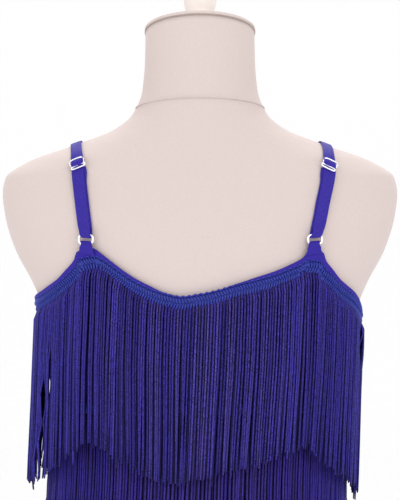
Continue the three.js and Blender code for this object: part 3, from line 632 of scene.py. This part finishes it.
def strands(name, angle, top, clear, thick, length, material, wander=0.7, depth=3.5):
    """Tubes down from each angle; their points are closer near the top, where they bend out.

    Every second strand lies in an outer depth. Each leaves the braid over its first 9 mm, then x
    drifts with the sway, and the tube is a quarter thinner at its end.
    """
    count = len(angle)
    t = np.linspace(0, 1, STEPS)[None, :] ** 1.5
    drop = length[:, None] * t
    z = top[:, None] - drop
    outer = (np.arange(count) % 2)[:, None]
    layer_out = depth * (0.15 + 0.6 * outer) + draw.uniform(0, 0.25, count)[:, None] * depth
    cut = widest_above(top, z)
    leave = np.clip(drop / 9, 0, 1)
    off = (SLIP_OUT + 1.4) * (1 - leave) + (clear(z) + layer_out) * leave
    x, y = on_section(cut, angle[:, None] + 0 * z, off)
    x = x - SWAY * drop
    phase = draw.uniform(0, 2 * math.pi, (2, count))[:, :, None]
    lean = draw.normal(0, 1, (2, count))[:, :, None]
    drift = np.sin(phase[0] + 2.4 * t) - np.sin(phase[0])
    x = x + wander * t * (lean[0] * 1.1 + drift * 0.8)
    y = y + wander * t * (lean[1] * 0.8 + (np.sin(phase[1] + 3.0 * t) - np.sin(phase[1])) * 0.6)
    x = parted(x, z)
    x, y = push_out(x, y, section(z), np.minimum(off, clear(z) + layer_out) - 0.2)
    middle = np.stack([x, y, z], axis=-1)
    turn = np.linspace(0, 2 * math.pi, SIDES, endpoint=False)[None, None, :] + phase[0][..., None]
    taper = np.where(t > 0.97, 0.75, 1.0)
    girth = thick[:, None] * taper * (1 + 0.08 * np.sin(phase[1] + 9 * t))
    ring = np.stack([np.cos(turn) * girth[..., None], np.sin(turn) * girth[..., None],
                     0 * turn * girth[..., None]], axis=-1)
    points = middle[:, :, None] + ring
    one = grid_faces(STEPS, SIDES, True)[:, ::-1]
    block = STEPS * SIDES
    faces = (one[None] + (np.arange(count) * block)[:, None, None]).reshape(-1, 4).tolist()
    top_cap = np.arange(SIDES)[None] + (np.arange(count) * block)[:, None]
    end_cap = (STEPS - 1) * SIDES + np.arange(SIDES)[::-1][None] + (np.arange(count) * block)[:, None]
    faces += top_cap.tolist() + end_cap.tolist()
    piece = add_solid(name, points.reshape(-1, 3), faces, material, "fringe")
    # The inner strands are painted at about a third of the brightness: painted shade between the strands.
    # The random factor is the strands' own tone.
    shade = draw.uniform(0.75, 1.35, count) * np.where(outer[:, 0] > 0, 1.0, 0.32)
    # Painted sheen: strands near the middle are painted greyer and lighter, by a random amount each.
    painted_centre_sheen = 1 + draw.uniform(0.2, 1.1, count) * np.exp(-(x[:, 0] / 105) ** 2)
    vectors = np.repeat(np.stack([shade * painted_centre_sheen, shade * painted_centre_sheen, shade], -1), block, axis=0)
    layer_shade = piece.data.attributes.new("shade", "FLOAT_VECTOR", "POINT")
    layer_shade.data.foreach_set("vector", vectors.ravel())
    return piece


def ragged(count, spread=2.2):
    """Strand lengths with small differences and a few longer stray ends."""
    length = LENGTH + draw.normal(0, spread, count)
    stray = draw.random(count) < 0.02
    return length + stray * draw.uniform(4, 12, count)


def tier_one(side, low, high):
    """Dense strands under the braid: two strands for each braid stitch, in a deep layer."""
    angle, _ = even_angles(low, high, 1.45, drop=18.0)
    angle = angle + draw.normal(0, 0.0012, len(angle))
    top = edge_z(angle) - edge_trim(angle) - BRAID_WIDTH + 1.5
    thick = draw.uniform(0.85, 1.15, len(angle))
    return strands(f"fringe_one_{side}", angle, top, lambda z: REST + 0 * z, thick,
                   ragged(len(angle)), FRINGE)


for side, low, high in (("back", math.pi + SIDE, 2 * math.pi - SIDE), ("front", SIDE, math.pi - SIDE)):
    piece = tier_one(side, low, high)
    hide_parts(f"tier_1_fringe_{side}")

# %% [markdown]
# Three more tiers go round the body in level rings. The second and third hang over the heading of
# the tier below, so they stand further off there. Their strands are a little thicker than the first
# tier's and painted a little darker: painted shade from the tier above.

# %% Lower tiers
TIERS = [("tier_2", 1085.0, 948.0), ("tier_3", 948.0, 812.0), ("tier_4", 812.0, None)]
OVER = REST + 4 + 3
RING = np.linspace(0, 2 * math.pi, 300, endpoint=False)


def ring_band(name, z_top, z_low, out, wall, material):
    """A closed band round the form: two outer rows and two inner rows, joined in a loop."""
    rows = []
    for z, away in ((z_top, out), (z_low, out), (z_low, out - wall), (z_top, out - wall), (z_top, out)):
        x, y = on_section(section(np.full(len(RING), z)), RING, away)
        rows.append(np.stack([x, y, np.full(len(RING), z)], axis=-1))
    points = np.concatenate(rows[:4])
    faces = grid_faces(5, len(RING), True)[:, ::-1] % (4 * len(RING))
    return add_mesh(name, points, faces, material)


tier_pieces = []
for name, z, below in TIERS:
    band = ring_band(f"{name}_band", z + 5.5, z - 5.5, SLIP_OUT + 2.0, 1.4, BRAID)
    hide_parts(f"{name}_heading")
    count = 560
    angle = np.linspace(0, 2 * math.pi, count, endpoint=False) + draw.normal(0, 0.002, count)
    angle = np.mod(angle, 2 * math.pi)

    def clear(height, below=below):
        """Stands off further where it hangs over the next heading."""
        if below is None:
            return REST + 0 * height
        share = np.clip((below + 46 - height) / 40, 0, 1)
        return REST + (OVER - REST) * share

    piece = strands(f"{name}_strands", angle, np.full(count, z - 4.0), clear,
                    draw.uniform(0.95, 1.3, count), ragged(count), FRINGE_LOW_PAINTED_SHADE, depth=2.6)
    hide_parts(f"{name}_fringe")
    tier_pieces += [band, piece]

# %% [markdown]
# The straps are elastic webbing. Each is one ribbon that goes over the shoulder, through the
# slider, round the ring and back. Its route is measured as a turn about a point in the form, so it
# lies on the shoulder all the way.

# %% The shoulder
SHOULDER_Z = 1270.0
STRAP_LINE = np.array([(-30, -109.3, 109.8), (-15, -109.4, 109.9), (-6, -111.5, 114.4),
                       (8, -114.4, 118.8), (38, -119.4, 126.2), (90, -123.5, 124.5),
                       (190, -104.5, 104.5), (204, -104.5, 104.5)])
MM_PER_TURN = 1.55
STRAP_WALL = 1.2


def on_shoulder(x, turn, out):
    """The form's surface by halving the distance from the inner point, then moved out."""
    x, turn, out = np.broadcast_arrays(*[np.asarray(v, float) for v in (x, turn, out)])
    back = -np.cos(np.radians(turn))
    up = np.sin(np.radians(turn))
    near, far = np.zeros(x.shape), np.full(x.shape, 200.0)
    for _ in range(26):
        middle = (near + far) / 2
        y, z = back * middle, SHOULDER_Z + up * middle
        wide, rear, front, power = section(z)
        reach = (np.abs(x) / wide) ** power + (np.abs(y) / np.where(y < 0, rear, front)) ** power
        inside = (z < NECK_TOP) & (reach < 1)
        near, far = np.where(inside, middle, near), np.where(inside, far, middle)
    radius = near + out
    return np.stack([x, back * radius, SHOULDER_Z + up * radius], axis=-1)


def spread_rows(rows, every=1.2):
    """Points along a smooth line through the rows, spaced evenly by length."""
    rows = np.asarray(rows, float)
    flat = rows[:, :2] * [MM_PER_TURN, 1]
    run = np.concatenate([[0], np.cumsum(np.linalg.norm(np.diff(flat, axis=0), axis=1))])
    dense = np.linspace(0, run[-1], int(run[-1] / every))
    return np.stack([smooth(run, rows[:, k], dense) for k in range(rows.shape[1])], axis=-1)


def ribbon(name, side, rows, wall, material, slot, every=1.2):
    """Rows of turn, out, inward, width and lean: a cross-section with a groove down its middle."""
    line = spread_rows(rows, every)
    sign = 1 if side == "left" else -1
    flat = line[:, :2] * [MM_PER_TURN, 1]
    ahead = np.gradient(flat, axis=0)
    ahead /= np.linalg.norm(ahead, axis=1, keepdims=True)
    base_x = smooth(STRAP_LINE[:, 0], STRAP_LINE[:, 1 if side == "left" else 2], line[:, 0])
    across = np.array([-0.5, -0.46, -0.3, -0.1, 0.0, 0.1, 0.3, 0.46, 0.5])
    crown = np.array([0.15, 0.42, 0.5, 0.5, 0.44, 0.5, 0.5, 0.42, 0.15])
    ring_across = np.concatenate([across, across[::-1]])
    ring_through = np.concatenate([crown, -crown[::-1]])
    climb = np.tan(np.radians(line[:, 4])) * line[:, 3]
    place = (flat[:, :1] + ring_across * climb[:, None]
             - ahead[:, 1:] * ring_through * wall) / MM_PER_TURN
    out = flat[:, 1:] + ahead[:, :1] * ring_through * wall
    x = (base_x + sign * line[:, 2])[:, None] + ring_across * line[:, 3, None]
    rows3 = on_shoulder(x, place, out)
    points, faces = closed_stack(rows3)
    piece = add_solid(name, points, faces, material, slot)
    return piece


RING_TURN, RING_OUT = -12.2, 5.2
RING_WIDE, RING_HIGH, RING_WIRE = 7.2, 4.2, 1.2
RING_STEP = RING_HIGH / MM_PER_TURN
FOLD = RING_WIRE + 0.5 + STRAP_WALL / 2
SLIDER_TURN, SLIDER_OUT, SLIDER_PLATE = 38.0, 4.4, 1.6
SLIDER_HIGH, SLIDER_WIDE, SLIDER_BAR = 13.4, 15.4, 1.7
SLIDER_LEAN = {"left": 18.0, "right": -22.0}
FORM_STRAP = 1.2 + STRAP_WALL / 2
UNDER = SLIDER_OUT - 0.4 - STRAP_WALL / 2
OVER_BAR = SLIDER_OUT + SLIDER_PLATE + 0.4 + STRAP_WALL / 2
WIDE, IN_RING, IN_SLIDER = 12.0, 10.6, 11.6
INNER_SHIFT = 1.8


def fold(bar, sense, inward):
    """A half circle of the ribbon round one bar of the ring."""
    angles = np.radians([90, 60, 30, 0, -30, -60, -90])
    return [(bar - sense * FOLD * math.cos(a) / MM_PER_TURN, RING_OUT + FOLD * math.sin(a),
             inward * (0.5 - math.degrees(a) / 180), IN_RING, 0) for a in angles]


def strap_rows(lean):
    """From the front peak over the shoulder, through the slider, round the ring and back up."""
    front_out = SLIP_OUT + 1.2 + 1.5 + STRAP_WALL / 2
    rows = [(191.5, front_out, 0, WIDE, 0), (187.5, front_out, 0, WIDE, 0),
            (182, FORM_STRAP + 1, 0, WIDE, 0)]
    rows += [(turn, FORM_STRAP, 0, WIDE - 1.4, 0) for turn in np.arange(175, 49, -6.0)]
    bar = (SLIDER_HIGH - SLIDER_BAR) / 2 / MM_PER_TURN
    for turn, out in ((bar + 3, FORM_STRAP + 0.2), (bar + 1.6, UNDER), (bar - 1.2, UNDER),
                      (1.9, OVER_BAR), (-0.4, OVER_BAR), (-bar + 0.6, UNDER), (-bar - 1, UNDER)):
        rows.append((SLIDER_TURN + turn, out, 0, IN_SLIDER, lean))
    for turn, lift in ((27, 1.0), (18, 0.6), (9, 0.1), (0, 0)):
        rows.append((turn, UNDER + lift, 0, WIDE, 0))
    upper = RING_TURN + RING_STEP
    rows.append((upper + 5.5, UNDER, 0, WIDE, 0))
    rows.append((upper + 2, RING_OUT + FOLD, 0, IN_RING, 0))
    rows += fold(upper, 1, INNER_SHIFT)
    inner = UNDER - STRAP_WALL - 0.3
    rows.append((upper + 4, inner + 0.2, INNER_SHIFT, WIDE, 0))
    rows += [(turn, inner, INNER_SHIFT, WIDE, 0) for turn in np.arange(0, 32, 8.0)]
    rows.append((SLIDER_TURN - bar - 2, inner, INNER_SHIFT + 1.2, WIDE, 0))
    rows.append((SLIDER_TURN - bar + 2, inner, INNER_SHIFT + 0.6, WIDE, 0))
    return rows


def tab_rows():
    """Both ends on the peak, folded round the ring's lower bar."""
    lower = RING_TURN - RING_STEP
    inner = SLIP_OUT + 1.2 + 1.4 + STRAP_WALL / 2
    outer = inner + STRAP_WALL + 0.3
    return [(lower - 6.2, SLIP_OUT + 0.9, 0, 20, 0), (lower - 4.6, outer - 1.3, 0, 16, 0),
            (lower - 3, outer - 0.2, 0, 13.6, 0), (lower - 1.6, outer, 0, WIDE + 1.2, 0),
            *fold(lower, -1, 0), (lower - 1.4, RING_OUT - FOLD + 0.3, 0, IN_RING + 1, 0),
            (lower - 3.2, inner, 0, WIDE + 1, 0), (lower - 5, inner - 0.3, 0, 14, 0)]


straps = {}
for side in ("left", "right"):
    strap = ribbon(f"strap_webbing_{side}", side, strap_rows(SLIDER_LEAN[side]), STRAP_WALL, WEBBING,
                   "strap_webbing")
    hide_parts(f"strap_{side}")
    tab = ribbon(f"peak_tab_{side}", side, tab_rows(), STRAP_WALL, BINDING, "strap_webbing", 0.8)
    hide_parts(f"tab_{side}")
    straps[side] = (strap, tab)

# %% [markdown]
# Rings and sliders are plated metal. The ring is a bent wire: a circle carried along a rounded
# oblong. The slider is a cast figure of eight, so two such wires share their middle bar.

# %% Rings and sliders
def plane_on(side, turn, out):
    """Origin and three axes on the strap: across it, up along it, and out from the form."""
    x = float(smooth(STRAP_LINE[:, 0], STRAP_LINE[:, 1 if side == "left" else 2], turn))
    origin = on_shoulder(x, turn, out)
    up = on_shoulder(x, turn + 3, out) - on_shoulder(x, turn - 3, out)
    up /= np.linalg.norm(up)
    wide = on_shoulder(x + 4, turn, out) - on_shoulder(x - 4, turn, out)
    away = np.cross(wide, up)
    away /= np.linalg.norm(away)
    return origin, np.cross(up, away), up, away


def wire_loop(half_wide, half_high, power, wire, centre=(0, 0), around=64, sides=12):
    """Circle carried along a superellipse in its own plane."""
    t = (np.arange(around) + 0.5) / around * 2 * math.pi
    c, s = np.cos(t), np.sin(t)
    line = np.stack([np.sign(c) * np.abs(c) ** (2 / power) * half_wide + centre[0],
                     np.sign(s) * np.abs(s) ** (2 / power) * half_high + centre[1]], -1)
    ahead = np.roll(line, -1, 0) - np.roll(line, 1, 0)
    normal = np.stack([ahead[:, 1], -ahead[:, 0]], -1)
    normal /= np.linalg.norm(normal, axis=1, keepdims=True)
    turn = np.linspace(0, 2 * math.pi, sides, endpoint=False)
    flat = line[:, None] + normal[:, None] * (np.cos(turn) * wire)[None, :, None]
    high = np.broadcast_to(np.sin(turn) * wire, flat.shape[:2])
    points = np.concatenate([flat, high[..., None]], -1)
    faces = grid_faces(around + 1, sides, True) % (around * sides)
    return points.reshape(-1, 3), faces


def put(points, frame_axes, lean=0.0):
    """Turn a flat piece by its lean in its own plane, then place it in three axes."""
    origin, across, up, away = frame_axes
    a = math.radians(lean)
    x = points[:, 0] * math.cos(a) - points[:, 1] * math.sin(a)
    y = points[:, 0] * math.sin(a) + points[:, 1] * math.cos(a)
    return origin + x[:, None] * across + y[:, None] * up + points[:, 2:3] * away


for side in ("left", "right"):
    points, faces = wire_loop(RING_WIDE, RING_HIGH, 3.2, RING_WIRE)
    placed = put(points, plane_on(side, RING_TURN, RING_OUT))
    ring = add_mesh(f"ring_wire_{side}", placed, faces, METAL)
    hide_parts(f"ring_{side}")
    half_wide = (SLIDER_WIDE - SLIDER_BAR) / 2
    loops = [wire_loop(half_wide, high, 3.5, 0.85, (0, y)) for high, y in ((4.2, 1.9), (1.7, -4.0))]
    size = len(loops[0][0])
    points = np.concatenate([loops[0][0], loops[1][0] + [0, 0, 0.02]])
    faces = np.concatenate([loops[0][1], loops[1][1] + size])
    placed = put(points, plane_on(side, SLIDER_TURN, SLIDER_OUT + SLIDER_PLATE / 2), SLIDER_LEAN[side])
    slider = add_mesh(f"slider_eight_{side}", placed, faces, METAL)
    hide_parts(f"slider_{side}")

# %% [markdown]
# Each slip panel is a shaped piece, so its area is worked out: the panel's own surface on the form,
# not a drafted pattern's, so it can't serve as a test of the cloth's size.

# %% Cuts of the cloth
def shell_area(thing):
    """Half of a thin closed shell's surface, in square metres: one face of its cloth."""
    size = np.empty(len(thing.data.polygons))
    thing.data.polygons.foreach_get("area", size)
    return float(size.sum()) / 2


for side, panel in panels.items():
    area = shell_area(panel)

# %% [markdown]
# The room is plain: a white floor and back wall in one curved sweep, so that no corner shows, and
# large soft lamps. The back wall is far off, so that it doesn't come between the dress and a camera
# in front of it. The lamp above and beside the camera gives the strands their sheen.

# %% Stage, lights and camera
sweep_x = np.linspace(-16, 16, 2)
t = np.linspace(0, 1, 24)
sweep_y = np.concatenate([[-16.0], 12.2 + 0.8 * np.sin(t * math.pi / 2), [13.0]])
sweep_z = np.concatenate([[0.0], 0.8 * (1 - np.cos(t * math.pi / 2)), [14.0]])
sweep = np.stack(np.broadcast_arrays(sweep_x[None, :], sweep_y[:, None], sweep_z[:, None]), -1)
paper = bpy.data.materials.new("white_paper")
paper.use_nodes = True
paper.node_tree.nodes["Principled BSDF"].inputs["Base Color"].default_value = (0.99, 0.99, 0.99, 1)
paper.node_tree.nodes["Principled BSDF"].inputs["Roughness"].default_value = 0.9
mesh = bpy.data.meshes.new("studio_sweep")
mesh.from_pydata(sweep.reshape(-1, 3).tolist(), [], grid_faces(26, 2).tolist())
mesh.materials.append(paper)
studio = bpy.data.objects.new("studio_sweep", mesh)
bpy.context.collection.objects.link(studio)
studio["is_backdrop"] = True

world = bpy.data.worlds.new("studio_air")
world.use_nodes = True
world.node_tree.nodes["Background"].inputs["Color"].default_value = (1.0, 1.0, 1.0, 1)
world.node_tree.nodes["Background"].inputs["Strength"].default_value = 1.0
bpy.context.scene.world = world
bpy.context.scene.view_settings.view_transform = "Standard"

TARGET = Vector((0.0, 0.0, 1.24))


def lamp(name, place, size, power, colour=(1, 1, 1)):
    """A square soft box aimed at the chest."""
    data = bpy.data.lights.new(name, "AREA")
    data.size = size
    data.energy = power
    data.color = colour
    thing = bpy.data.objects.new(name, data)
    thing.location = place
    thing.rotation_euler = (TARGET - Vector(place)).to_track_quat("-Z", "Y").to_euler()
    bpy.context.collection.objects.link(thing)


lamp("key_box", (1.2, -2.6, 2.4), 1.6, 20)
lamp("fill_box", (-2.2, -2.0, 1.6), 1.8, 12)
lamp("back_wash", (0.0, 1.4, 3.6), 2.5, 45)

CAMERA_BACK = 2.4
camera_data = bpy.data.cameras.new("view_camera")
camera_data.sensor_fit = "HORIZONTAL"
camera_data.sensor_width = 36
camera_data.lens = 36 * CAMERA_BACK / 0.4
camera = bpy.data.objects.new("view_camera", camera_data)
camera.location = (0.0, -CAMERA_BACK, 1.24)
camera.rotation_euler = (math.pi / 2, 0, 0)
bpy.context.collection.objects.link(camera)
bpy.context.scene.camera = camera

# %% [markdown]
# The box round everything is written down beside the CAD's, so that the two can be compared.

# %% Measure and finish
bpy.context.view_layer.update()
size = {"cad": cad_box, "visual": [list(map(float, corner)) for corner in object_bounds()]}
print("boxes:", size)
